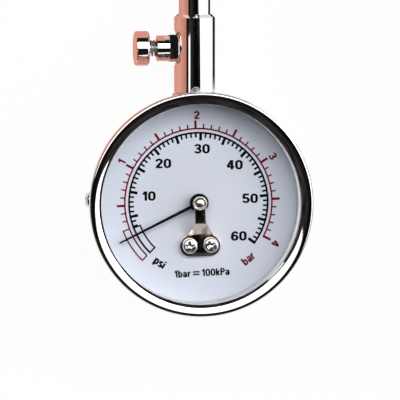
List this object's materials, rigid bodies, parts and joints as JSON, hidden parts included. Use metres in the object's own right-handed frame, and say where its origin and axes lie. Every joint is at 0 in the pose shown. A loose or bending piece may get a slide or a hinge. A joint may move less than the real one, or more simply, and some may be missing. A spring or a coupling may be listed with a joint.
{
  "type": "tire pressure gauge",
  "caption": "Dial tyre pressure gauge with a chromed case, a straight stem with a side bleed button and a push-on valve chuck.",
  "frame": {"origin": "centre of the flat back of the case", "axes": "+Z out of the dial, +Y along the stem to the chuck, +X to the reader's right"},
  "size_m": [0.054, 0.1455, 0.0246],
  "materials": {
    "chrome": "bright plated",
    "lens_clear": "clear",
    "dial_white": "satin white with a printed scale",
    "pointer_black": "satin black",
    "nickel": "nickel plated sheet",
    "polished_steel": "polished",
    "steel": "turned",
    "spring_steel": "blued",
    "brass": "machined",
    "bronze": "drawn",
    "ring_grey": "satin",
    "rubber": "matte"
  },
  "bodies": {
    "gauge": {"case": "chrome", "bezel": "chrome", "case_washer": "chrome", "stem_body": "chrome", "stem_tube": "chrome", "bleed_body": "chrome", "chuck_body": "chrome", "chuck_cap": "chrome", "lens": "lens_clear", "dial": "dial_white", "bridge": "nickel", "pivot_cap": "polished_steel", "bridge_screws": "polished_steel", "side_screws": "polished_steel", "plate_screws": "steel", "sector_stud": "steel", "hairspring": "spring_steel", "bleed_spring": "spring_steel", "sector_clip": "spring_steel", "movement_plate": "brass", "bridge_pillars": "brass", "rear_bush": "brass", "socket_block": "brass", "hairspring_post": "brass", "depressor": "brass", "bourdon_tube": "bronze", "spacer_ring": "ring_grey", "lens_gasket": "rubber", "chuck_seal": "rubber"},
    "pointer_set": {"pointer": "pointer_black", "pinion_arbor": "steel"},
    "sector": {"sector_gear": "brass", "link_pin": "steel"},
    "tip": {"tip_block": "brass", "link_bar": "brass"},
    "bleed": {"bleed_button": "chrome", "bleed_poppet": "brass", "bleed_seal": "rubber"}
  },
  "joints": [
    {"name": "tip_travel", "type": "slide", "parent": "gauge", "child": "tip", "axis": [0, -1, 0], "range_m": [0, 0.00226], "stiffness_N_per_m": 150, "springref_m": -0.001, "deforming": ["bourdon_tube"]},
    {"name": "sector_swing", "type": "hinge", "parent": "gauge", "child": "sector", "pos_m": [-0.01159, -0.00163, 0.0066], "axis": [0, 0, 1], "range_deg": [0, 44.2]},
    {"name": "pointer_sweep", "type": "hinge", "parent": "gauge", "child": "pointer_set", "pos_m": [0, 0, 0.0193], "axis": [0, 0, -1], "range_deg": [0, 243], "stiffness_Nm_per_rad": 0.00002, "springref_deg": -17.19, "deforming": ["hairspring"]},
    {"name": "bleed_press", "type": "slide", "parent": "gauge", "child": "bleed", "axis": [1, 0, 0], "range_m": [0, 0.0016], "stiffness_N_per_m": 300, "springref_m": -0.002, "deforming": ["bleed_spring"]}
  ],
  "couplings": [
    {"joint": "sector_swing", "follows": "tip_travel", "rad_per_m": 341.74},
    {"joint": "pointer_sweep", "follows": "tip_travel", "rad_per_m": 1879.6}
  ]
}
